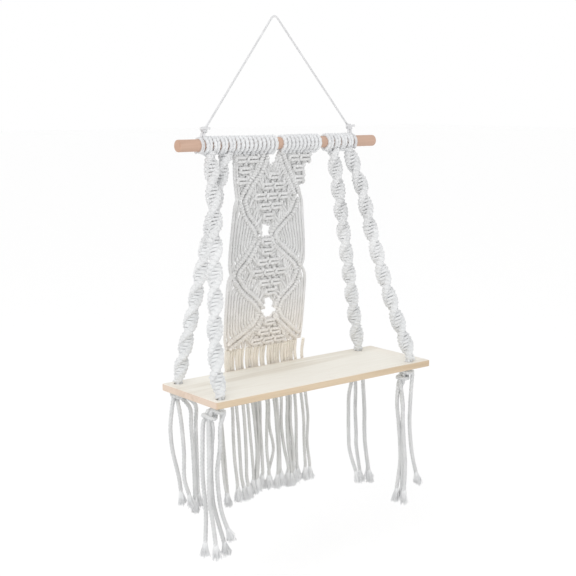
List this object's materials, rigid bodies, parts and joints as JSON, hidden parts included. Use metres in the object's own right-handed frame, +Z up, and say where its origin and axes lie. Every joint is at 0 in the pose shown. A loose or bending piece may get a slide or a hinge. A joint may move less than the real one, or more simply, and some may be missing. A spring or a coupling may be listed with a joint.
{
  "type": "macrame wall shelf with dowel and hanging cord",
  "caption": "Narrow pine shelf on spiral knotted cotton ropes that hang from a dowel, with a knotted back panel, loose fringe and tassels, carried by one cord over a nail.",
  "frame": {"origin": "the point where the hanging cord bears on its nail, at the top of the cord's bend", "axes": "+Z up, +X to the right along the shelf as seen from the room, +Y back to the wall"},
  "size_m": [0.4355, 0.1516, 0.7725],
  "materials": {
    "dowel_wood": "bare sanded wood, pinkish beige, fine straight grain",
    "board_wood": "bare sanded pine, pale cream with soft long streaks",
    "cotton_cord": "soft twisted cotton cord, off white, matt"
  },
  "bodies": {
    "root": {"dowel": "dowel_wood", "shelf_board": "board_wood", "hanger_cord": "cotton_cord", "hanger_knot_left": "cotton_cord", "hanger_knot_right": "cotton_cord", "rope_front_left": "cotton_cord", "rope_back_left": "cotton_cord", "rope_front_right": "cotton_cord", "rope_back_right": "cotton_cord", "tassel_front_left": "cotton_cord", "tassel_back_left": "cotton_cord", "tassel_front_right": "cotton_cord", "tassel_back_right": "cotton_cord", "panel": "cotton_cord", "panel_fringe": "cotton_cord"}
  },
  "joints": []
}
